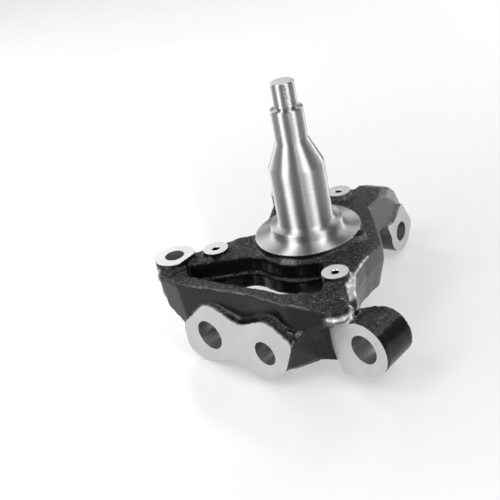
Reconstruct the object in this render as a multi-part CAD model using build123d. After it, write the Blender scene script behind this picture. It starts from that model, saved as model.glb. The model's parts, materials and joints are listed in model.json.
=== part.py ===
"""Front steering knuckle: one steel forging with the wheel spindle in one piece.

Frame: origin on the spindle axis in the plane of the collar shoulder, +Z out along the
spindle, millimetres.  The strut pad and the clevis lug face -X -Y, the arm lug +X -Y.
Levels of the forging are drops below the collar shoulder.
"""

from build123d import *
import os
from math import cos, radians, sin

# ---- turned spindle: diameters, then lengths from the tip inwards ----
thread_d = 16.0
thread_chamfer = 0.9
relief_d = 13.8
relief_length = 2.0
relief_flank = 0.7
outer_journal_d = 22.0
inner_journal_d = 38.0
lead_in = 0.25
collar_d = 50.0
flange_d = 72.8
spindle_length = 100.0
thread_length = 16.0
outer_seat_length = 22.4
taper_length = 16.7
taper_step = 0.4
taper_run_out = 1.5
inner_seat_length = 28.0
shoulder_fillet = 2.2
collar_height = 3.0
flange_drop = 8.0
flare_cones = 3
root_drop = 30.0
root_draft = 2.0
edge_break = 0.5

# ---- hub plate and arms ----
deck_drop = 12.0
deck_base_drop = 36.0
ledge_drop = 25.0
ledge = 2.0
hub_r = 39.6
web_corner_r = 6.0
forging_r = 2.5

# ---- heavy block on the rear side, sloping down to the clevis lug ----
block_waist_drop = 27.0
block_base_drop = 46.0
block_corner_r = 4.0
upper_draft = 3.0
lower_draft = 15.0
heel_drop = 21.5
lip_drop = 25.0
rail_fall = 50.0
slope_start = 61.0
slope_end = 71.0
nose_end = 110.0

# ---- front rail: a deep wall that carries the strut pad ----
rail_left_drop = 14.0
rail_mid_drop = 8.0
rail_base_drop = 58.0
rail_corner_r = 4.0
rail_draft = 4.0

# ---- dust shield pads and plain holes ----
pad_r = 9.0
pad_thread_d = 5.0
countersink = 0.6
pads = [((7.6, -65.0), 14.5), ((-65.0, 0.5), 13.0), ((30.8, 49.5), 16.4)]
deck_hole_d = 10.0
deck_hole_places = [(-46.3, 9.2), (30.5, -21.0)]
rough_bosses = [((2.0, -91.0), 8.0, 16.5), ((-99.0, -8.0), 6.5, 11.5)]
boss_height = 6.0
boss_flank = 0.15

# ---- caliper lugs, bored along the spindle ----
caliper_r = 14.3
caliper_bore_d = 13.5
caliper_thickness = 28.0
caliper_flat = 11.8
caliper_flat_angle = -46.0
caliper_places = [(-94.0, 2.5), (-3.5, 68.0)]

# ---- strut pad: two bosses and a waist on the front rail ----
strut_angle = -138.0
strut_reach = 90.0
strut_depth = 20.0
strut_bore_d = 21.6
strut_pin_d = 17.2
strut_bore_place = (-19.7, -47.3)
strut_pin_place = (30.7, -45.7)

# ---- clevis lug ----
clevis_angle = -142.0
clevis_place = (12.9, -109.0)
clevis_drop = 40.4
clevis_r = 18.5
clevis_bore_d = 20.0
clevis_depth = 28.0
clevis_draft = 5.0

# ---- rear arm lug, its web set back from the faced head ----
arm_angle = -39.0
arm_place = (73.6, 51.9)
arm_drop = 53.4
arm_head_r = 15.5
arm_bore_d = 14.8
arm_depth = 26.0
arm_web_recess = 2.0
arm_skin_recess = 8.0

reach_all = 200.0


def outline(points, radii):
    """Closed outline, each corner rounded by its own radius or all by one."""
    if isinstance(radii, float):
        radii = [radii] * len(points)
    face = make_face(Polyline(*points, close=True))
    for point, radius in zip(points, radii):
        if radius:
            face = fillet(face.vertices().sort_by_distance(point)[0], radius)
    return face


def between(face, top, base):
    """Solid of a plan outline between two drops."""
    return Pos(0, 0, -base) * extrude(face, base - top)


def facing(angle, level=0.0, reach=0.0, place=(0.0, 0.0)):
    """Plane parallel to the spindle: local x runs level, local y runs up."""
    normal = Vector(cos(radians(angle)), sin(radians(angle)), 0)
    along = Vector(-sin(radians(angle)), cos(radians(angle)), 0)
    return Plane(origin=Vector(*place, level) + normal * reach, x_dir=along, z_dir=normal)


strut_face = facing(strut_angle, reach=strut_reach)
clevis_face = facing(clevis_angle, -clevis_drop, place=clevis_place)
arm_face = facing(arm_angle, -arm_drop, place=arm_place)


def spindle():
    """Thread, two bearing journals, the taper between them, the collar and its flare."""
    tip = spindle_length
    thread_end = tip - thread_length
    seat_end = thread_end - relief_length
    taper_top = seat_end - outer_seat_length
    taper_base = taper_top - taper_length
    r_thread, r_relief = thread_d / 2, relief_d / 2
    r_outer, r_inner = outer_journal_d / 2, inner_journal_d / 2
    r_collar, r_flange = collar_d / 2, flange_d / 2
    turned = Polyline(
        (r_flange, -flange_drop),
        (r_flange - root_draft, -root_drop),
        (0, -root_drop),
        (0, tip),
        (r_thread - thread_chamfer, tip),
        (r_thread, tip - thread_chamfer),
        (r_thread, thread_end),
        (r_relief, thread_end - relief_flank),
        (r_relief, seat_end),
        (r_outer - edge_break, seat_end),
        (r_outer, seat_end - edge_break),
        (r_outer, taper_top),
        (r_outer + taper_step, taper_top - taper_step),
        (r_inner - edge_break, taper_base),
        (r_inner - lead_in, taper_base - taper_run_out),
        (r_inner - lead_in, inner_seat_length),
        (r_inner, inner_seat_length - lead_in),
        (r_inner, shoulder_fillet),
    )
    root = RadiusArc((r_inner, shoulder_fillet), (r_inner + shoulder_fillet, 0), -shoulder_fillet)
    collar = Polyline(
        (r_inner + shoulder_fillet, 0),
        (r_collar - edge_break, 0),
        (r_collar, -edge_break),
        (r_collar, -collar_height),
        *[
            (r_flange - (r_flange - r_collar) * cos(t), -collar_height - (flange_drop - collar_height) * sin(t))
            for t in (radians(step * 90 / flare_cones) for step in range(1, flare_cones + 1))
        ],
    )
    return revolve(Plane.XZ * make_face(Wire([*turned.edges(), *root.edges(), *collar.edges()])), Axis.Z)


def side_view(points):
    """Slab right through the forging whose outline is drawn on the strut face."""
    return extrude(strut_face * make_face(Polyline(*points, close=True)), reach_all, both=True)


def drafted(face, top, base, draft):
    """Solid of a plan outline between two drops, narrowing downwards."""
    return Pos(0, 0, -top) * extrude(face, top - base, taper=draft)


def deck():
    """Plate under the flange with its arms to the two caliper lugs and the neck."""
    left_arm = [(-20, 18), (-20, -30), (-42, -13), (-75, -9), (-86, -8), (-86, 9), (-66, 13), (-46, 18)]
    rear_arm = [(48, 34), (44, 58), (14, 66), (-12, 66), (-18, 60), (-24, 40), (-34, 10), (30, 0)]
    neck = [(48, 34), (48, 10), (47, -10), (45, -34), (37, -42), (28.5, -52), (20.7, -65), (18, -76)]
    neck += [(16.5, -92), (-10, -82), (-3, -72), (-1, -60), (4, -30), (18, 20)]
    arms = Circle(hub_r) + outline(left_arm, web_corner_r) + outline(rear_arm, web_corner_r)
    plate = between(arms + outline(neck, block_corner_r), deck_drop, ledge_drop)
    plate = fillet(plate.faces().sort_by(Axis.Z)[-1].edges(), forging_r)
    return plate + between(offset(arms, ledge), ledge_drop, deck_base_drop)


def block():
    """Heavy side of the forging from the rear arm lug round to the clevis lug."""
    rear = [(48, 34), (48, 10), (47, -10), (45, -34), (37, -42), (28.5, -52), (20.7, -65), (18, -76)]
    front = [(16.5, -92), (5, -97), (-3, -88), (-12, -82), (-3, -76), (-1, -60), (6, -30), (18, 20)]
    plan = outline(rear + front, [block_corner_r] * (len(rear) + 1) + [0] * (len(front) - 1))
    upper = drafted(plan, deck_drop + forging_r, block_waist_drop, upper_draft)
    waist = upper.faces().sort_by(Axis.Z)[0]
    return upper + extrude(waist, block_base_drop - block_waist_drop, taper=lower_draft)


def heel():
    """Lip between the rail and the clevis lug, its wall falling back to the rail base."""
    lip = [(-35, -86.2), (-28, -92), (-16, -95.5), (-8, -96), (-2.6, -100.7), (10, -99), (16, -84), (-18, -80)]
    foot = [(-35, -84), (-29.5, -90), (-14, -86.5), (-9.7, -84.6), (-3, -88.7), (10, -84), (12, -80), (-18, -78)]
    wall = [
        Pos(0, 0, -drop) * make_face(Polyline(*points, close=True))
        for points, drop in ((lip, lip_drop), (foot, rail_base_drop))
    ]
    return between(outline(lip, forging_r), rail_mid_drop, lip_drop) + loft(wall, ruled=True)


def front_rail():
    """Deep drafted wall from the left lug to the heel, its top rising to mid length."""
    outer = [(-108, 2), (-107, -14), (-95, -32), (-75, -48), (-50, -70), (-31, -90.3), (-14, -86.5)]
    closing = [(-9, -84), (-1, -88), (12, -84), (6, -70), (-40, -40), (-70, -8), (-82, 10)]
    window = [(-18, -82), (-29, -77), (-51, -57), (-72, -37), (-86, -22), (-88, 14), (20, 30), (20, -82)]
    wall = drafted(outline(outer + closing, rail_corner_r), rail_mid_drop, rail_base_drop, rail_draft)
    wall -= between(outline(window, rail_corner_r), 0, rail_base_drop)
    top = [(-76, -rail_left_drop), (18, -rail_mid_drop), (nose_end, -rail_mid_drop)]
    base = [(nose_end, -rail_base_drop), (-20, -rail_base_drop), (-40, -50), (-62, -37), (-76, -32)]
    return wall & side_view(top + base)


def strut_pad():
    """Dog-bone pad, its two bosses joined by a waist, proud of the front rail."""
    left_boss = [(-45, -66), (-45, -47), (-17, -20.5)]
    right_boss = [(10, -31), (36, -19.5), (56, -32), (47, -54), (24, -70)]
    waist = [(0, -60.5), (-29, -72)]
    radii = [9, 8, 14, 14, 12, 5, 14, 14, 25, 9]
    return extrude(strut_face * outline(left_boss + right_boss + waist, radii), -strut_depth)


def clevis_outline():
    """Milled face of the clevis lug in two outlines: round, and a square heel beside the rail."""
    heel = outline([(2, 18), (-12, 15.5), (-26, 9), (-26, -6), (-21, -27), (4, -19)], [0, 3, 3, 6, 3, 0])
    return [clevis_face * Circle(clevis_r), clevis_face * heel]


def arm_lug():
    """Faced head square to the spindle, on a web falling away from the deck."""
    corner = outline([(6, 21.5), (-8, 12), (-20, 14), (-16, 5), (-8, -13), (16, -7), (18, 1)], [1, 3, 1, 3, 3, 6, 2])
    head = extrude(arm_face * (Circle(arm_head_r) + corner), -arm_depth)
    flash = [(-40, 41.4), (-26, 41.4), (-12.7, 35.8), (-1.9, 27.3), (6, 18), (0, -6), (-16, 12), (-40, 16)]
    skin = [(-40, 41.4), (-10, 41.4), (4, 35), (12, 28), (18, 15), (0, -6), (-16, 12), (-40, 16)]
    front = Pos(0, 0, -arm_web_recess) * make_face(Polyline(*flash, close=True))
    back = Pos(0, 0, -arm_skin_recess) * make_face(Polyline(*skin, close=True))
    slope = loft([arm_face * front, arm_face * back], ruled=True)
    web = extrude(arm_face * back, -(arm_depth - arm_skin_recess))
    return head + slope + web


def posts():
    """Dust shield pads and caliper lugs, faced at the flange level, and two rough bosses."""
    top = -flange_drop
    height = deck_base_drop - flange_drop
    shield = [Pos(x, y, top - height / 2) * Cylinder(pad_r, height) for (x, y), depth in pads]
    flat = Pos(caliper_flat + caliper_r, 0) * Rectangle(2 * caliper_r, 2 * caliper_r)
    plans = [Circle(caliper_r) - Rot(0, 0, caliper_flat_angle) * flat, Circle(caliper_r)]
    lugs = [
        Pos(x, y, top) * extrude(plan, -caliper_thickness) for (x, y), plan in zip(caliper_places, plans)
    ]
    rough = [
        Pos(x, y, -drop - boss_height / 2) * Cone(r + boss_height * boss_flank, r, boss_height)
        for (x, y), r, drop in rough_bosses
    ]
    return Part() + shield + lugs + rough


def dust_shield_holes():
    """Countersunk blind threads in the three pads, each as deep as its metal allows."""
    r = pad_thread_d / 2
    return Part() + [
        Pos(x, y, -flange_drop) * CounterSinkHole(r, r + countersink, depth) for (x, y), depth in pads
    ]


def plain_holes():
    """Through holes along the spindle: caliper bolts and the two deck holes."""
    bores = [(place, caliper_bore_d) for place in caliper_places]
    bores += [(place, deck_hole_d) for place in deck_hole_places]
    return Part() + [Pos(x, y, 0) * Cylinder(d / 2, reach_all) for (x, y), d in bores]


def cross_bores():
    """Bores square to their faces: strut bolt, strut pin, clevis and arm."""
    bolt = Pos(*strut_bore_place) * Circle(strut_bore_d / 2)
    pin = Pos(*strut_pin_place) * Circle(strut_pin_d / 2)
    strut = extrude(strut_face * (bolt + pin), strut_depth + forging_r, both=True)
    clevis = extrude(clevis_face * Circle(clevis_bore_d / 2), clevis_depth + forging_r, both=True)
    arm = extrude(arm_face * Circle(arm_bore_d / 2), arm_depth + forging_r, both=True)
    return strut + clevis + arm


clevis = clevis_outline()
forging = deck() + block() + front_rail() + heel()
slope = [(rail_fall, -rail_mid_drop), (slope_start, -deck_drop), (slope_end, -heel_drop), (nose_end, -heel_drop)]
forging -= side_view([*slope, (nose_end, 0), (rail_fall, 0)])
forging += [extrude(face, -clevis_depth, taper=clevis_draft) for face in clevis]
forging += strut_pad() + arm_lug() + posts() + spindle()
forging -= [extrude(face, reach_all) for face in clevis]
part = forging - dust_shield_holes() - plain_holes() - cross_bores()
os.makedirs("parts", exist_ok=True)
export_step(part, "parts/steering_knuckle.step")
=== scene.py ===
import bmesh
import bpy
import json
import math
import numpy as np
from mathutils import Matrix, Vector, noise

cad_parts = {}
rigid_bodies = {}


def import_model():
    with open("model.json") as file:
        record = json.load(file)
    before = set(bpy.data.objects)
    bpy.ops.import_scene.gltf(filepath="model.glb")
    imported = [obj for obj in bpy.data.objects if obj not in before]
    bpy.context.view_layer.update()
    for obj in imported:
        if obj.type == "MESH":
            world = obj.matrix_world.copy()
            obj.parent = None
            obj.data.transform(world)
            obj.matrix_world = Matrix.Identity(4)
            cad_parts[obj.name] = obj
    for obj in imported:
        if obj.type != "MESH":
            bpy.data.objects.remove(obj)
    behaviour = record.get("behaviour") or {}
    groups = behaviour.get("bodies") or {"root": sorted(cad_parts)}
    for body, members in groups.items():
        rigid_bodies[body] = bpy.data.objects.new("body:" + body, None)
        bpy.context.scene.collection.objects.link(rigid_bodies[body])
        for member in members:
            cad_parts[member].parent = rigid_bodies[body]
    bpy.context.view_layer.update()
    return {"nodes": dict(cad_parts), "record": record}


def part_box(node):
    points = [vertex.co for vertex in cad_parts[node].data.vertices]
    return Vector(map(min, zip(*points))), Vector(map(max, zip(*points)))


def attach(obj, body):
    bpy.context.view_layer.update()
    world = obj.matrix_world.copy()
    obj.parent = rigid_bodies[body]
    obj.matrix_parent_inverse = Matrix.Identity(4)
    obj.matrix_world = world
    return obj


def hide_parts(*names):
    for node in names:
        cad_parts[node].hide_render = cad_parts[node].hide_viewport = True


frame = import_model()

MM = 0.001
UP = Vector((0, 0, 1))
ORIGIN = Vector((0, 0, 0))
cad = frame["nodes"]["steering_knuckle"]
mounts = {m["name"]: m for m in frame["record"]["mounts"]}

# cross bores, each in a head that is faced square to it
STRUT, CLEVIS, ARM = mounts["strut_bolt_bore"], mounts["clevis_bore"], mounts["arm_bore"]

# level that the flange, the shield pads and the caliper lugs are faced to, in millimetres and in metres
FACE = -8
FACE_Z = FACE * MM

# ---------------------------------------------------------------- shader helpers


def new_material(name, colour, rough, metal=0.0, **more):
    """Principled material with its even values on the shader's own sockets."""
    mat = bpy.data.materials.new(name)
    mat.use_nodes = True
    bsdf = mat.node_tree.nodes["Principled BSDF"]
    bsdf.inputs["Base Color"].default_value = (*colour, 1)
    bsdf.inputs["Roughness"].default_value = rough
    bsdf.inputs["Metallic"].default_value = metal
    for key, value in more.items():
        bsdf.inputs[key.replace("_", " ")].default_value = value
    return mat, mat.node_tree.nodes, mat.node_tree.links, bsdf


def node(nodes, kind, **values):
    """New node: each value goes to its socket, or to the node where it has no such socket."""
    n = nodes.new(kind)
    for key, value in values.items():
        if key in n.inputs:
            n.inputs[key].default_value = value
        else:
            setattr(n, key, value)
    return n


def maths(nodes, links, operation, *terms):
    """Math node whose terms are plain numbers or sockets."""
    n = node(nodes, "ShaderNodeMath", operation=operation)
    for socket, term in zip(n.inputs, terms):
        if isinstance(term, (int, float)):
            socket.default_value = term
        else:
            links.new(term, socket)
    return n.outputs[0]


def object_coords(nodes, links, scale=(1, 1, 1)):
    coords = nodes.new("ShaderNodeTexCoord")
    mapping = nodes.new("ShaderNodeMapping")
    mapping.inputs["Scale"].default_value = scale
    links.new(coords.outputs["Object"], mapping.inputs["Vector"])
    return mapping.outputs["Vector"]


def noise_texture(nodes, links, scale=(1, 1, 1), **values):
    """Noise over the object, drawn out along an axis whose scale is small."""
    texture = node(nodes, "ShaderNodeTexNoise", **values)
    links.new(object_coords(nodes, links, scale), texture.inputs["Vector"])
    return texture.outputs["Fac"]


def ramp(nodes, links, source, stops):
    """Grey ramp through (position, value) stops."""
    r = nodes.new("ShaderNodeValToRGB")
    el = r.color_ramp.elements
    el[0].position, el[0].color = stops[0][0], (*[stops[0][1]] * 3, 1)
    el[1].position, el[1].color = stops[-1][0], (*[stops[-1][1]] * 3, 1)
    for pos, val in stops[1:-1]:
        e = el.new(pos)
        e.color = (val, val, val, 1)
    links.new(source, r.inputs["Fac"])
    return r.outputs["Color"]


def rise(nodes, links, source, start, end):
    """0 up to the start, 1 from the end on, and a straight rise between them."""
    n = nodes.new("ShaderNodeMapRange")
    for key, value in (("From Min", start), ("From Max", end), ("To Min", 0.0), ("To Max", 1.0)):
        n.inputs[key].default_value = value
    links.new(source, n.inputs["Value"])
    return n.outputs["Result"]


def bump(nodes, links, height, **values):
    """Bump node over a height."""
    n = node(nodes, "ShaderNodeBump", **values)
    links.new(height, n.inputs["Height"])
    return n


# ---------------------------------------------------------------- materials


def painted_side_light(nodes, links, top):
    """Painted side light: the paint is painted paler on the walls of the block's side and of the rear arm,
    where light from the right falls.
    """
    place = nodes.new("ShaderNodeSeparateXYZ")
    links.new(object_coords(nodes, links), place.inputs[0])
    across = rise(nodes, links, place.outputs["X"], 0.012, 0.045)
    behind = rise(nodes, links, place.outputs["Y"], -0.08, -0.065)
    zone = maths(nodes, links, "MULTIPLY", across, behind)
    wall = maths(nodes, links, "SUBTRACT", 1.15, top)
    return maths(nodes, links, "MULTIPLY", zone, wall)


def paint_material():
    """Gloss black paint over a forged skin, its grain strongest on the upper faces, with painted light in its
    colour: painted side light on the right-hand walls, painted glints on the tops, and painted highlights
    with rubbed paint on rounded edges and round the bosses.
    """
    mat, nodes, links, bsdf = new_material("paint", (0.006, 0.006, 0.0065), 0.3, Specular_IOR_Level=0.3)
    grain = noise_texture(nodes, links, (0.35, 1, 1), Scale=900.0, Detail=3.0, Roughness=0.6)
    pits = noise_texture(nodes, links, Scale=300.0, Detail=2.0)
    streak = noise_texture(nodes, links, (1, 1, 0.12), Scale=260.0, Detail=2.0)
    top = node(nodes, "ShaderNodeAttribute", attribute_name="skin").outputs["Fac"]
    # painted highlights and rubbed paint, read from the mesh
    highlight_and_wear_in = node(nodes, "ShaderNodeAttribute", attribute_name="highlight_and_wear").outputs["Fac"]

    forged = bump(nodes, links, maths(nodes, links, "ADD", grain, pits), Distance=0.0016)
    links.new(top, forged.inputs["Strength"])
    drawn = bump(nodes, links, streak, Strength=0.06, Distance=0.0004)
    links.new(forged.outputs["Normal"], drawn.inputs["Normal"])
    links.new(drawn.outputs["Normal"], bsdf.inputs["Normal"])

    # paint colour, with painted side light that makes the right-hand walls paler
    body = ramp(nodes, links, painted_side_light(nodes, links, top), [(0.0, 0.003), (1.0, 0.09)])
    patches = ramp(nodes, links, pits, [(0.0, 0.3), (0.45, 0.5), (0.65, 1.0)])
    # painted glints: random pale specks on the upper faces that stand in for glints of light
    painted_glints = ramp(nodes, links, grain, [(0.0, 0.0), (0.55, 0.0), (0.72, 0.1)])
    patchy_highlight_and_wear = maths(nodes, links, "MULTIPLY", highlight_and_wear_in, patches)
    painted_glints_on_tops = maths(nodes, links, "MULTIPLY", painted_glints, top)
    # pale marks in the colour: painted highlights, painted glints and rubbed paint
    bare = maths(nodes, links, "ADD", patchy_highlight_and_wear, painted_glints_on_tops)
    links.new(maths(nodes, links, "ADD", body, bare), bsdf.inputs["Base Color"])
    gloss = ramp(nodes, links, pits, [(0.0, 0.18), (0.5, 0.26), (1.0, 0.36)])
    links.new(gloss, bsdf.inputs["Roughness"])
    return mat


def milled_material():
    """Satin milled face with faint tool marks."""
    mat, nodes, links, bsdf = new_material("milled", (0.5, 0.5, 0.5), 0.5, 0.5)
    cloud = noise_texture(nodes, links, Scale=60.0, Detail=4.0)
    links.new(ramp(nodes, links, cloud, [(0.25, 0.5), (0.75, 0.58)]), bsdf.inputs["Base Color"])
    marks = noise_texture(nodes, links, (1, 1, 0.2), Scale=700.0, Detail=2.0)
    cut = bump(nodes, links, marks, Strength=0.08, Distance=0.0003)
    links.new(cut.outputs["Normal"], bsdf.inputs["Normal"])
    return mat


def bore_material():
    """Bored or drilled wall, darker than a milled face."""
    mat, nodes, links, bsdf = new_material("bored", (0.42, 0.42, 0.42), 0.34, 0.9)
    cloud = noise_texture(nodes, links, Scale=500.0, Detail=2.0)
    links.new(ramp(nodes, links, cloud, [(0.3, 0.36), (0.7, 0.46)]), bsdf.inputs["Base Color"])
    return mat


def turned_material():
    """Turned and ground steel: fine rings, and highlights drawn out along the axis."""
    mat, nodes, links, bsdf = new_material("turned", (0.46, 0.46, 0.46), 0.45, 1.0)
    bsdf.inputs["Anisotropic"].default_value = 1.0
    bsdf.inputs["Anisotropic Rotation"].default_value = 0.25
    tangent = node(nodes, "ShaderNodeTangent", direction_type="RADIAL", axis="Z")
    links.new(tangent.outputs["Tangent"], bsdf.inputs["Tangent"])
    rings = noise_texture(nodes, links, (25, 25, 2600), Scale=1.0, Detail=3.0)
    links.new(ramp(nodes, links, rings, [(0.2, 0.38), (0.8, 0.47)]), bsdf.inputs["Base Color"])
    cut = bump(nodes, links, rings, Strength=0.06, Distance=0.0002)
    links.new(cut.outputs["Normal"], bsdf.inputs["Normal"])
    return mat


PAINT = paint_material()
MILLED = milled_material()
BORED = bore_material()
TURNED = turned_material()

# materials of the forging and its cutters, and where each one stands in that order
FORGING_MATERIALS = (PAINT, MILLED, BORED)
PAINT_INDEX, MILLED_INDEX, BORED_INDEX = 0, 1, 2

# ---------------------------------------------------------------- mesh helpers


def mesh_object(name, verts, faces, mats=(), index=0):
    me = bpy.data.meshes.new(name)
    me.from_pydata([tuple(v) for v in verts], [], [tuple(f) for f in faces])
    for m in mats:
        me.materials.append(m)
    for p in me.polygons:
        p.material_index = index
    me.update()
    ob = bpy.data.objects.new(name, me)
    bpy.context.scene.collection.objects.link(ob)
    return ob


def face_outwards(ob):
    bm = bmesh.new()
    bm.from_mesh(ob.data)
    bmesh.ops.recalc_face_normals(bm, faces=bm.faces)
    bm.to_mesh(ob.data)
    bm.free()


def join_into(first, others):
    parts = [first] + others
    with bpy.context.temp_override(
        active_object=first, selected_editable_objects=parts, selected_objects=parts
    ):
        bpy.ops.object.join()


def apply(ob, kind, **values):
    """Add a modifier and keep its result as the object's own mesh."""
    mod = ob.modifiers.new(kind.lower(), kind)
    for key, value in values.items():
        setattr(mod, key, value)
    deps = bpy.context.evaluated_depsgraph_get()
    me = bpy.data.meshes.new_from_object(ob.evaluated_get(deps), depsgraph=deps)
    ob.modifiers.clear()
    old = ob.data
    ob.data = me
    bpy.data.meshes.remove(old)


def vertex_rows(mesh, what):
    """Three numbers for each vertex: its place ("co") or its direction ("normal")."""
    values = np.empty(len(mesh.vertices) * 3)
    mesh.vertices.foreach_get(what, values)
    return values.reshape(-1, 3)


def prism(loop, low, high):
    """Closed prism between two offset copies of a loop."""
    n = len(loop)
    verts = [p + low for p in loop] + [p + high for p in loop]
    faces = [list(range(n))[::-1], [n + i for i in range(n)]]
    faces += [[i, (i + 1) % n, n + (i + 1) % n, n + i] for i in range(n)]
    return verts, faces


def block_on(loop, normal, low, high):
    """Prism on a face's outline, from and to in millimetres along its normal."""
    return prism(loop, normal * (low * MM), normal * (high * MM))


def ring(centre, axis, radius, count):
    z = Vector(axis).normalized()
    x = z.orthogonal().normalized()
    y = z.cross(x)
    return [
        Vector(centre) + radius * (math.cos(t) * x + math.sin(t) * y)
        for t in (2 * math.pi * i / count for i in range(count))
    ]


def rod(centre, axis, radius, low, high, count):
    z = Vector(axis).normalized()
    return prism(ring(centre, axis, radius, count), z * low, z * high)


def on_plan(place):
    """Point at level zero under or over a place."""
    return Vector((place.x, place.y, 0))


def upright_rod(place, sizes, count):
    """Rod parallel to Z: its radius, bottom and top in millimetres."""
    radius, low, high = (size * MM for size in sizes)
    return rod(on_plan(place), UP, radius, low, high, count)


def lathe(centre, rows, count=96):
    """Turned shape about a line parallel to Z: rows of (z, radius) in millimetres, top first."""
    verts = [p + UP * z * MM for z, r in rows for p in ring(centre, UP, r * MM, count)]
    last = (len(rows) - 1) * count
    faces = [list(range(count)), [last + i for i in range(count)][::-1]]
    for row in range(len(rows) - 1):
        a, b = row * count, (row + 1) * count
        faces += [[a + i, b + i, b + (i + 1) % count, a + (i + 1) % count] for i in range(count)]
    return verts, faces


def hull(points):
    """Convex block round a few points in millimetres."""
    bm = bmesh.new()
    for p in points:
        bm.verts.new(Vector(p) * MM)
    bmesh.ops.convex_hull(bm, input=bm.verts)
    loose = [v for v in bm.verts if not v.link_faces]
    bmesh.ops.delete(bm, geom=loose, context="VERTS")
    bm.verts.index_update()
    shape = [v.co.copy() for v in bm.verts], [[v.index for v in f.verts] for f in bm.faces]
    bm.free()
    return shape


def grown(loop, n, by):
    """Loop offset outwards in its own plane."""
    out = []
    for i, p in enumerate(loop):
        side = (loop[(i + 1) % len(loop)] - loop[i - 1]).cross(n)
        out.append(p + side.normalized() * by)
    return out


# ---------------------------------------------------------------- what the CAD model and its mounts say
# metres: points closer than this are one, a face this close to a plane lies on it, a loop this close is near
WELD = 1e-7
ON_PLANE = 0.00003
NEAR = 4 * MM

# cosine of the angle below which two directions are the same
PARALLEL = 0.9999


def chained(step):
    """Closed paths through a table of each vertex's next one, which is used up."""
    paths = []
    while step:
        start, here = next(iter(step.items()))
        path = [start]
        del step[start]
        while here != start and here in step:
            path.append(here)
            here = step.pop(here)
        paths.append(path)
    return paths


def boundary_loops(n, offset):
    """Boundary loops of the CAD faces that lie on a plane."""
    bm = bmesh.new()
    bm.from_mesh(cad.data)
    bmesh.ops.remove_doubles(bm, verts=bm.verts, dist=WELD)
    flat = {
        f.index
        for f in bm.faces
        if f.normal.dot(n) > PARALLEL and all(abs(v.co.dot(n) - offset) < ON_PLANE for v in f.verts)
    }
    step = {}
    for f in bm.faces:
        if f.index not in flat:
            continue
        for loop in f.loops:
            others = [g for g in loop.edge.link_faces if g.index in flat]
            if len(others) == 1:
                step[loop.vert.index] = loop.link_loop_next.vert.index
    bm.verts.ensure_lookup_table()
    loops = [[bm.verts[i].co.copy() for i in path] for path in chained(step)]
    bm.free()
    return loops


def outer_loop(normal, offset, near=None):
    """Largest boundary loop on a plane, of those round a point if one is given."""

    def span(loop):
        a = np.array([list(p) for p in loop])
        if near is not None and np.linalg.norm(a.mean(axis=0)[:2] - np.array(near)[:2]) > NEAR:
            return 0.0
        return np.linalg.norm(np.ptp(a, axis=0))

    return max(boundary_loops(Vector(normal), offset), key=span)


def face_of(mount):
    """Outward normal and plane offset of the faced side that a cross bore opens in."""
    n = Vector(mount["axis"]).normalized()
    offset = Vector(mount["pos_m"]).dot(n) + mount["dims"]["length_mm"] * MM / 2
    return n, offset


def sizes_of(mount):
    """Middle, axis, radius and half length of a mount, in metres."""
    dims = mount["dims"]
    return Vector(mount["pos_m"]), Vector(mount["axis"]), dims["r_mm"] * MM, dims["length_mm"] * MM / 2


def is_tapped(mount):
    return mount["kind"] == "threaded_hole"


def is_lug(mount):
    return mount["name"].startswith("caliper")


# ---------------------------------------------------------------- rough forging
# level just above the faces, millimetres, where the spindle is cut off
SPINDLE_CUT = -7.9

# plugs in the holes, millimetres: wider than the hole, deeper than it, and proud of it
PLUG_WIDER, PLUG_DEEPER, PLUG_PROUD = 1.2, 1, 0.5

# metal left for the machining to take off, millimetres: radius, bottom and top
PAD_STOCK = (9, -20, -6.4)
FLANGE_STOCK = (36.9, -22, -6.6)

# the same on the lugs and on the heads of the cross bores: from and to, along the face's normal
LUG_STOCK = (-10, 1.6)
HEAD_STOCK = (-4, 1.8)

# blends beside the strut pad and under the clevis lug, millimetres: corners of two convex blocks
PAD_BLEND = [
    (-28.5, -100.4, -33), (-33.5, -94, -54), (-40.5, -86.3, -61),
    (-24, -88, -26), (-16, -94, -25), (-14, -92.5, -52), (-12, -86, -53), (-34, -80, -60), (-30, -80, -34),
]
LUG_BLEND = [
    (-16, -92, -28), (-16, -91, -53), (-3, -88, -32), (2, -92, -58),
    (4, -84, -58), (-12, -84, -53), (-10, -80, -28),
]

# voxels that round the raw edges, millimetres
VOXEL = 1.15

# forged skin: how close its waves are, per millimetre, and how high, in millimetres
FINE_WAVES, FINE_HEIGHT = 0.55, 0.12
WIDE_WAVES, WIDE_HEIGHT = 0.22, 0.14
WIDE_SHIFT = Vector((7, 3, 1))
WALL_WAVES_ACROSS, WALL_WAVES_UP, WALL_HEIGHT = 0.3, 0.05, 0.04

# how far the skin is drawn in, millimetres, so that its waves stay inside the CAD model's box
SKIN_DEPTH = 0.12


def cad_without_spindle():
    """The CAD solid's mesh, closed by a flat face where the spindle is cut off."""
    faces = [list(p.vertices) for p in cad.data.polygons]
    ob = mesh_object("forging", [v.co for v in cad.data.vertices], faces)
    bm = bmesh.new()
    bm.from_mesh(ob.data)
    bmesh.ops.remove_doubles(bm, verts=bm.verts, dist=WELD)
    whole = bm.verts[:] + bm.edges[:] + bm.faces[:]
    plane = (0, 0, SPINDLE_CUT * MM)
    cut = bmesh.ops.bisect_plane(bm, geom=whole, plane_co=plane, plane_no=UP, clear_outer=True)
    edges = [e for e in cut["geom_cut"] if isinstance(e, bmesh.types.BMEdge)]
    bmesh.ops.contextual_create(bm, geom=edges)
    bm.to_mesh(ob.data)
    bm.free()
    return ob


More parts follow.
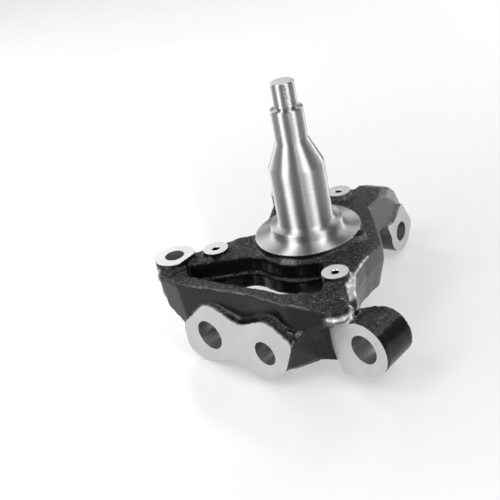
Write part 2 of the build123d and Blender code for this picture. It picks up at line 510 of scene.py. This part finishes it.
def machining_stock():
    """Plugs in the holes, and metal on the faces, that the machining takes off again."""
    fills = []
    for m in mounts.values():
        pos, axis, r, half = sizes_of(m)
        if m["kind"] == "bore" or is_tapped(m):
            low, high = -half - PLUG_DEEPER * MM, half + PLUG_PROUD * MM
            fills.append(rod(pos, axis, r + PLUG_WIDER * MM, low, high, 48))
        if is_tapped(m):
            fills.append(upright_rod(pos, PAD_STOCK, 64))
        if is_lug(m):
            fills.append(block_on(outer_loop(UP, FACE_Z, pos), UP, *LUG_STOCK))
    fills.append(upright_rod(ORIGIN, FLANGE_STOCK, 160))
    for mount in (STRUT, CLEVIS, ARM):
        n, offset = face_of(mount)
        fills.append(block_on(outer_loop(n, offset), n, *HEAD_STOCK))
    return fills


def rough_forging():
    """CAD solid, stock and blends melted into one body with soft edges."""
    body = cad_without_spindle()
    shapes = machining_stock() + [hull(PAD_BLEND), hull(LUG_BLEND)]
    fills = [mesh_object("fill", *shape) for shape in shapes]
    for ob in [body] + fills:
        face_outwards(ob)
    join_into(body, fills)
    apply(body, "REMESH", mode="VOXEL", voxel_size=VOXEL * MM, adaptivity=0.0)
    apply(body, "SMOOTH", factor=0.5, iterations=6)
    return body


def upward(normals):
    """1 on the upper faces, 0 on the walls."""
    return np.clip((normals[:, 2] - 0.35) / 0.4, 0, 1)


def roughen(mesh):
    """Forged skin, strong on the upper faces and faint on the drawn walls."""
    co, normals = vertex_rows(mesh, "co"), vertex_rows(mesh, "normal")
    top = upward(normals)
    for i in range(len(co)):
        p = Vector(co[i]) / MM
        n = Vector(normals[i])
        rough = noise.noise(p * FINE_WAVES) * FINE_HEIGHT
        rough += noise.noise(p * WIDE_WAVES + WIDE_SHIFT) * WIDE_HEIGHT
        drawn = Vector((p.x * WALL_WAVES_ACROSS, p.y * WALL_WAVES_ACROSS, p.z * WALL_WAVES_UP))
        wall = noise.noise(drawn) * WALL_HEIGHT
        co[i] += np.array(n) * (rough * top[i] + wall - SKIN_DEPTH) * MM
    mesh.vertices.foreach_set("co", co.reshape(-1))
    mesh.update()


# ---------------------------------------------------------------- machining
# facing cuts, millimetres: radius, bottom and top
PAD_CUT = (10.2, FACE, 4)
FLANGE_CUT = (37.6, FACE, 3)

# how far a cut passes the outline of a lug or a head, and how far it clears in front of it, millimetres
LUG_MARGIN, HEAD_MARGIN = 1.5, 1.3
CUT_HEIGHT = 9

# bottom and top of the upright holes, and how far a cross bore's cutter stands out, millimetres
HOLE_LOW, HOLE_TOP = -60, 10
BORE_OVERRUN = 8

# tapped holes, millimetres
COUNTERSINK_TOP, COUNTERSINK_WIDER, COUNTERSINK_DEPTH = 2, 0.8, 0.7
TAP_STEP, TAP_DEPTH = 0.625, 0.45


def facing_cutter(shape):
    """Leaves bare metal on the plane of its first face, and paint along its sides."""
    ob = mesh_object("cutter", *shape, mats=FORGING_MATERIALS, index=MILLED_INDEX)
    for p in ob.data.polygons[1:]:
        p.material_index = PAINT_INDEX
    face_outwards(ob)
    return ob


def bore_cutter(shape):
    """Leaves a bored wall all round."""
    ob = mesh_object("cutter", *shape, mats=FORGING_MATERIALS, index=BORED_INDEX)
    face_outwards(ob)
    return ob


def tap_cutter(place, r, half):
    """Leaves a bare countersink over ringed threads, which are as black as the paint."""
    radius = r / MM
    rows = [(level, radius + COUNTERSINK_WIDER) for level in (COUNTERSINK_TOP, FACE)]
    for k in range(int(2 * half / MM / TAP_STEP)):
        rows.append((FACE - COUNTERSINK_DEPTH - k * TAP_STEP, radius + (TAP_DEPTH if k % 2 else 0.0)))
    ob = bore_cutter(lathe(on_plan(place), rows, 64))
    for p in ob.data.polygons:
        bare = p.center.z > FACE_Z - COUNTERSINK_DEPTH * MM
        p.material_index = BORED_INDEX if bare else PAINT_INDEX
    return ob


def facing_cutters():
    shapes = []
    for m in mounts.values():
        place = Vector(m["pos_m"])
        if is_tapped(m):
            shapes.append(upright_rod(place, PAD_CUT, 64))
        elif is_lug(m):
            outline = grown(outer_loop(UP, FACE_Z, place), UP, LUG_MARGIN * MM)
            shapes.append(block_on(outline, UP, 0, CUT_HEIGHT))
    shapes.append(upright_rod(ORIGIN, FLANGE_CUT, 192))
    for mount in (STRUT, CLEVIS, ARM):
        n, offset = face_of(mount)
        outline = grown(outer_loop(n, offset), n, HEAD_MARGIN * MM)
        shapes.append(block_on(outline, n, 0, CUT_HEIGHT))
    return [facing_cutter(shape) for shape in shapes]


def hole_cutters():
    cutters = []
    for m in mounts.values():
        pos, axis, r, half = sizes_of(m)
        if is_tapped(m):
            cutters.append(tap_cutter(pos, r, half))
        elif is_lug(m) or m["name"].startswith("deck_hole"):
            count = 96 if is_lug(m) else 64
            cutters.append(bore_cutter(rod(on_plan(pos), UP, r, HOLE_LOW * MM, HOLE_TOP * MM, count)))
        elif m["kind"] == "bore":
            reach = half + BORE_OVERRUN * MM
            cutters.append(bore_cutter(rod(pos, axis.normalized(), r, -reach, reach, 128)))
    return cutters


def cut_away(body, cutters):
    tools = bpy.data.collections.new("tools")
    for ob in cutters:
        bpy.context.scene.collection.objects.unlink(ob)
        tools.objects.link(ob)
    tool_group = {"operand_type": "COLLECTION", "collection": tools}
    apply(body, "BOOLEAN", operation="DIFFERENCE", solver="EXACT", **tool_group)
    for ob in list(tools.objects):
        bpy.data.objects.remove(ob)
    bpy.data.collections.remove(tools)


# ---------------------------------------------------------------- rough bosses
# millimetres: x, y, top, radius, height of the side, and the level under which the painted highlight ring
# starts
BOSSES = [(2, -91, -15.6, 8.0, 3.4, -16.6), (-99, -8, -10.4, 6.5, 3.0, -11.6)]


def boss(x, y, top, radius, side):
    """Boss left rough: a low dome with a hollow fillet at its foot."""
    foot = top - side
    rows = [(top, radius * 0.6), (top - 0.1, radius * 0.78), (top - 0.45, radius * 0.9)]
    rows += [(top - 1.1, radius * 0.97), (top - 2.0, radius)]
    rows += [(foot, radius + 0.1), (foot - 0.8, radius + 0.5), (foot - 1.4, radius + 1.2)]
    rows += [(foot - 1.7, radius + 2.2), (foot - 4.5, radius + 2.2)]
    ob = mesh_object("boss", *lathe(Vector((x, y, 0)) * MM, rows), mats=(PAINT,))
    face_outwards(ob)
    return ob


# ---------------------------------------------------------------- painted highlights and worn paint
# zones where the rounded upper edges get painted highlights and rubbed paint: corners in millimetres, side
# faced, how pale
BLOCK_SIDE = ((12, -92, -24), (36, -46, -8), (1, 0), 0.75)
HEEL_FRONT = ((-14, -106, -27), (12, -93, -20.5), (0, -1), 0.9)
RAIL_FRONT = ((-90, -100, -20), (-14, -30, -5), (-0.64, -0.77), 0.14)

# normal of a rounded upper edge: how much of it points up, its spread, and the least that faces the side
EDGE_UPWARD, EDGE_SPREAD, EDGE_SIDEWAYS = 0.62, 0.22, 0.3

# painted highlight ring round a boss's foot, millimetres: gap, spread, how much lower it starts in front, and
# depth
RING_GAP, RING_SPREAD, RING_DROP, RING_DEPTH = 0.9, 1.1, 3, 9
RING_HIGHLIGHT = 0.7

# painted highlight and rubbed paint along the strut pad's edge, millimetres: spread and lowest level
PAD_EDGE_SPREAD, PAD_EDGE_LOW = 1.0, -34
PAD_EDGE_HIGHLIGHT = 0.45


def from_line(points, line):
    """Distance of every point to a line of straight pieces."""
    best = np.full(len(points), 1e9)
    for a, b in zip(np.array(line[:-1], float), np.array(line[1:], float)):
        t = np.clip((points - a) @ (b - a) / ((b - a) @ (b - a)), 0, 1)
        best = np.minimum(best, np.linalg.norm(points - a - t[:, None] * (b - a), axis=1))
    return best


def edge_highlight_and_wear(points, normals):
    # painted highlights and rubbed paint on the rounded upper edges that face the side
    rounding = np.exp(-(((normals[:, 2] - EDGE_UPWARD) / EDGE_SPREAD) ** 2))
    bare = np.zeros(len(points))
    for low_corner, high_corner, side, amount in (BLOCK_SIDE, HEEL_FRONT, RAIL_FRONT):
        inside = np.all((points > low_corner) & (points < high_corner), axis=1)
        turned_out = normals[:, :2] @ np.array(side) > EDGE_SIDEWAYS
        bare = np.maximum(bare, amount * rounding * inside * turned_out)
    return bare


def painted_highlight_ring(points, x, y, radius, level):
    # painted highlight: a pale ring on the fillet at a boss's foot, where light catches it
    away = np.hypot(points[:, 0] - x, points[:, 1] - y) - radius - RING_GAP
    start = np.where(points[:, 1] < y, level - RING_DROP, level)
    low = np.clip(start - points[:, 2], 0, 1) * (points[:, 2] > level - RING_DEPTH)
    return RING_HIGHLIGHT * low * np.exp(-((away / RING_SPREAD) ** 2))


def pad_edge_highlight_and_wear(points):
    # painted highlights and rubbed paint along the strut pad's outline
    loop = [tuple(p / MM) for p in outer_loop(*face_of(STRUT))]
    near = np.exp(-((from_line(points, loop + loop[:1]) / PAD_EDGE_SPREAD) ** 2))
    return PAD_EDGE_HIGHLIGHT * near * (points[:, 2] > PAD_EDGE_LOW)


def highlight_and_wear(mesh):
    """How pale each vertex is painted, from 0 to 1: painted highlights and rubbed paint on rounded edges, and
    painted highlight rings round the bosses.
    """
    points, normals = vertex_rows(mesh, "co") / MM, vertex_rows(mesh, "normal")
    # painted highlights and rubbed paint on rounded edges, along the strut pad's edge and round the bosses
    bare = np.maximum(edge_highlight_and_wear(points, normals), pad_edge_highlight_and_wear(points))
    for x, y, _, radius, _, level in BOSSES:
        bare = np.maximum(bare, painted_highlight_ring(points, x, y, radius, level))
    return bare


def finish_skin(mesh):
    """Vertex values that the paint reads, and smooth shading on the painted faces alone."""
    height, normals = vertex_rows(mesh, "co")[:, 2], vertex_rows(mesh, "normal")
    skin = upward(normals) * np.clip(height / (4 * MM) + 7, 0, 1)
    # the second attribute holds painted highlights and rubbed paint
    for name, values in (("skin", skin), ("highlight_and_wear", highlight_and_wear(mesh))):
        mesh.attributes.new(name, "FLOAT", "POINT").data.foreach_set("value", values)
    index = np.empty(len(mesh.polygons), dtype=np.int32)
    mesh.polygons.foreach_get("material_index", index)
    mesh.polygons.foreach_set("use_smooth", index == PAINT_INDEX)
    mesh.update()


base = rough_forging()
roughen(base.data)
for material in FORGING_MATERIALS:
    base.data.materials.append(material)
cut_away(base, facing_cutters())
cut_away(base, hole_cutters())
join_into(base, [boss(x, y, top, radius, side) for x, y, top, radius, side, _ in BOSSES])
finish_skin(base.data)
base.name = "forging"
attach(base, "root")
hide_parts("steering_knuckle")

# ---------------------------------------------------------------- turned spindle
# thread, millimetres: outer radius, pitch and depth, its two ends, and how long it runs out at each
THREAD_R, PITCH, THREAD_DEPTH = 8.0, 1.5, 0.2
THREAD_LOW, THREAD_TOP = 84.6, 99.2
RUN_OUT_LOW, RUN_OUT_TOP = 1.2, 1.0

# inner journal's radius and the fillet at its shoulder, millimetres
INNER_R, SHOULDER_FILLET = 19.0, 2.2

# level above which a face belongs to the milled end, millimetres
END_FACE = 99.96

SEGMENTS = 240


def thread_radius(z, t):
    """Helical thread, run out at both ends."""
    phase = (z / PITCH - t / (2 * math.pi)) % 1.0
    tri = abs(2 * phase - 1)
    fade = min(1.0, max(0.0, (z - THREAD_LOW) / RUN_OUT_LOW), max(0.0, (THREAD_TOP - z) / RUN_OUT_TOP))
    return THREAD_R - THREAD_DEPTH * (1 - tri) * fade


def spindle_rows():
    """Profile from the tip down as (z, radius) in millimetres; along the thread the radius is None."""
    # end face, chamfer and thread
    rows = [(99.99, 0.0), (99.99, 3.5), (99.99, 7.0), (99.95, 7.1), (99.1, 7.95)]
    rows += [(z, None) for z in np.arange(99.0, 84.0, -0.17)]
    # relief groove and outer journal
    rows += [(84.0, 8.0), (83.3, 6.95), (83.0, 6.9), (82.2, 6.9), (82.0, 7.1), (82.0, 9.0), (82.0, 10.3)]
    rows += [(81.9, 10.7), (81.5, 10.98), (81.0, 11.0), (75.0, 11.0), (66.0, 11.0), (59.75, 11.0)]
    # taper, and the land at its foot
    rows += [(59.6, 11.06), (59.4, 11.3), (59.0, 11.5), (55.0, 13.2), (50.0, 15.4), (45.0, 17.5)]
    rows += [(43.4, 18.25), (42.9, 18.5), (42.2, 18.75), (41.4, 18.85), (36.0, 18.85), (28.15, 18.85)]
    # inner journal and its shoulder fillet
    rows += [(28.0, INNER_R), (27.8, INNER_R), (20.0, INNER_R), (10.0, INNER_R), (2.4, INNER_R)]
    for a in np.linspace(0.1, math.pi / 2, 8):
        z = SHOULDER_FILLET - SHOULDER_FILLET * math.sin(a)
        rows.append((z, INNER_R + SHOULDER_FILLET - SHOULDER_FILLET * math.cos(a)))
    # collar
    rows += [(0.0, 22.5), (0.0, 24.3), (-0.12, 24.75), (-0.5, 25.0), (-0.8, 25.0), (-2.8, 25.0), (-3.0, 25.0)]
    # flare and flange, closed inside the forging
    rows += [(-4.6, 25.0), (-5.4, 25.1), (-6.0, 25.35), (-6.5, 25.8), (-6.9, 26.5), (-7.2, 27.5)]
    rows += [(-7.45, 29.0), (-7.6, 31.0), (-7.75, 34.0), (-7.9, 36.0), (-8.0, 36.4)]
    rows += [(-8.02, 36.5), (-8.3, 36.5), (-9.0, 36.0), (-9.0, 20.0), (-9.0, 0.0)]
    return rows


def spindle_shape():
    rows = spindle_rows()
    verts, faces = [], []
    for z, r in rows:
        for i in range(SEGMENTS):
            t = 2 * math.pi * i / SEGMENTS
            radius = thread_radius(z, t) if r is None else r
            verts.append(Vector((radius * math.cos(t), radius * math.sin(t), z)) * MM)
    for row in range(len(rows) - 1):
        a, b = row * SEGMENTS, (row + 1) * SEGMENTS
        faces += [[a + i, b + i, b + (i + 1) % SEGMENTS, a + (i + 1) % SEGMENTS] for i in range(SEGMENTS)]
    return verts, faces


def turned_spindle():
    """Turned all over, apart from the milled end face."""
    ob = mesh_object("spindle", *spindle_shape(), mats=(TURNED, MILLED))
    bm = bmesh.new()
    bm.from_mesh(ob.data)
    bmesh.ops.remove_doubles(bm, verts=bm.verts, dist=1e-6)
    bmesh.ops.recalc_face_normals(bm, faces=bm.faces)
    for f in bm.faces:
        f.smooth = True
        f.material_index = 1 if f.calc_center_median().z > END_FACE * MM else 0
    bm.to_mesh(ob.data)
    bm.free()
    ob.data.set_sharp_from_angle(angle=math.radians(30))
    return ob


spindle = turned_spindle()
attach(spindle, "root")
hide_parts("steering_knuckle")

# ---------------------------------------------------------------- floor
# half its width in metres, and how bright the camera and reflections see it
FLOOR_HALF = 6.0
FLOOR_GLOW = 0.44


def floor_material():
    """Pale floor with painted shade that darkens it round the object, and a glow for camera and reflections
    alone.
    """
    mat, nodes, links, bsdf = new_material("floor", (0.5, 0.5, 0.5), 0.22)
    away = node(nodes, "ShaderNodeVectorMath", operation="LENGTH")
    links.new(object_coords(nodes, links), away.inputs[0])
    # painted shade: the floor's colour is darker near the object
    painted_shade_near_object = ramp(nodes, links, away.outputs["Value"], [(0.08, 0.3), (0.28, 0.36), (0.9, 0.62)])
    links.new(painted_shade_near_object, bsdf.inputs["Base Color"])
    path = nodes.new("ShaderNodeLightPath")
    seen = maths(nodes, links, "MAXIMUM", path.outputs["Is Camera Ray"], path.outputs["Is Glossy Ray"])
    bsdf.inputs["Emission Color"].default_value = (1, 1, 1, 1)
    links.new(maths(nodes, links, "MULTIPLY", seen, FLOOR_GLOW), bsdf.inputs["Emission Strength"])
    return mat


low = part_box("steering_knuckle")[0].z
corners = [(x * FLOOR_HALF, y * FLOOR_HALF, low) for x, y in ((-1, -1), (1, -1), (1, 1), (-1, 1))]
floor = mesh_object("floor", corners, [(0, 1, 2, 3)], mats=(floor_material(),))

# ---------------------------------------------------------------- world and lamps
# level of the grey surroundings by azimuth in degrees
WALLS = [
    (-180, 0.30), (-170, 0.22), (-163, 0.9), (-140, 0.9), (-133, 0.12), (-106, 0.10), (-103, 0.35),
    (-100, 0.10), (-80, 0.10), (-76, 1.0), (-54, 1.0), (-48, 0.12), (-8, 0.10), (8, 0.25), (22, 0.45),
    (50, 0.35), (80, 0.32), (105, 0.45), (128, 0.8), (150, 0.4), (180, 0.30),
]


def studio_world():
    """Grey surroundings that light the object and show in it, but are white to the camera."""
    world = bpy.data.worlds.new("studio")
    bpy.context.scene.world = world
    world.use_nodes = True
    nodes, links = world.node_tree.nodes, world.node_tree.links
    coords = nodes.new("ShaderNodeTexCoord")
    split = nodes.new("ShaderNodeSeparateXYZ")
    links.new(coords.outputs["Generated"], split.inputs[0])
    turn = maths(nodes, links, "ARCTAN2", split.outputs["Y"], split.outputs["X"])
    part_turn = maths(nodes, links, "MULTIPLY_ADD", turn, 1 / (2 * math.pi), 0.5)
    shade = ramp(nodes, links, part_turn, [(azimuth / 360 + 0.5, level) for azimuth, level in WALLS])
    path = nodes.new("ShaderNodeLightPath")
    mix = node(nodes, "ShaderNodeMix", data_type="RGBA")
    links.new(path.outputs["Is Camera Ray"], mix.inputs["Factor"])
    links.new(shade, mix.inputs[6])
    mix.inputs[7].default_value = (1, 1, 1, 1)
    background = nodes["Background"]
    links.new(mix.outputs[2], background.inputs["Color"])
    background.inputs["Strength"].default_value = 1.0


def softbox(name, azimuth, elevation, distance, width, height, power, aim=(0, 0, 0)):
    """Area lamp turned to its aim: angles in degrees, sizes in metres, power in watts."""
    data = bpy.data.lights.new(name, "AREA")
    data.shape = "RECTANGLE"
    data.size, data.size_y = width, height
    data.energy = power
    lamp = bpy.data.objects.new(name, data)
    bpy.context.scene.collection.objects.link(lamp)
    a, e = math.radians(azimuth), math.radians(elevation)
    outwards = Vector((math.cos(e) * math.cos(a), math.cos(e) * math.sin(a), math.sin(e)))
    lamp.location = Vector(aim) + distance * outwards
    lamp.rotation_euler = (Vector(aim) - lamp.location).to_track_quat("-Z", "Y").to_euler()


studio_world()
softbox("key_left", -147, 22, 1.2, 0.5, 1.3, 8.5)
softbox("key_right", -49, 22, 1.2, 0.36, 1.3, 6.5)
softbox("key_line", -86, 22, 1.2, 0.02, 1.3, 1.6)
softbox("top_left", -168, 56, 1.2, 0.3, 0.5, 5)
softbox("top_right", -52, 56, 1.2, 0.3, 0.5, 5)
softbox("back_left", 106, 27, 0.7, 0.3, 0.4, 0.9, aim=(-0.07, 0, 0))
softbox("back_right", 38, 20, 1.2, 0.24, 1.2, 4.6)
softbox("back_side", 128, 22, 1.2, 0.24, 1.2, 2.2)

# ---------------------------------------------------------------- camera
# read from the photograph: elevation and roll in degrees, focal length and the origin's place in pixels
# of a square frame, and the origin's depth in millimetres
ELEVATION, ROLL = 27.93, -12.0
FRAME, FOCAL = 500, 950
ORIGIN_X, ORIGIN_Y = 305.8, 218.7
DEPTH = 653.3
SENSOR = 36.0


def camera_axes():
    """Right, up and view directions."""
    elevation, roll = math.radians(ELEVATION), math.radians(ROLL)
    view = Vector((0, math.cos(elevation), -math.sin(elevation)))
    level = Vector((1, 0, 0))
    upright = level.cross(view)
    right = math.cos(roll) * level + math.sin(roll) * upright
    up = -math.sin(roll) * level + math.cos(roll) * upright
    return right, up, view


def make_camera():
    right, up, view = camera_axes()
    off_right = (ORIGIN_X - FRAME / 2) / FOCAL * DEPTH
    off_down = (ORIGIN_Y - FRAME / 2) / FOCAL * DEPTH
    place = -(off_right * right - off_down * up + DEPTH * view)
    cam = bpy.data.cameras.new("camera")
    cam.sensor_width, cam.lens = SENSOR, SENSOR * FOCAL / FRAME
    cam.clip_start, cam.clip_end = 0.01, 50
    camera = bpy.data.objects.new("camera", cam)
    bpy.context.scene.collection.objects.link(camera)
    turned = Matrix((right, up, -view)).transposed().to_4x4()
    camera.matrix_world = Matrix.Translation(place * MM) @ turned
    bpy.context.scene.camera = camera


make_camera()
bpy.context.scene.view_settings.view_transform = "Standard"
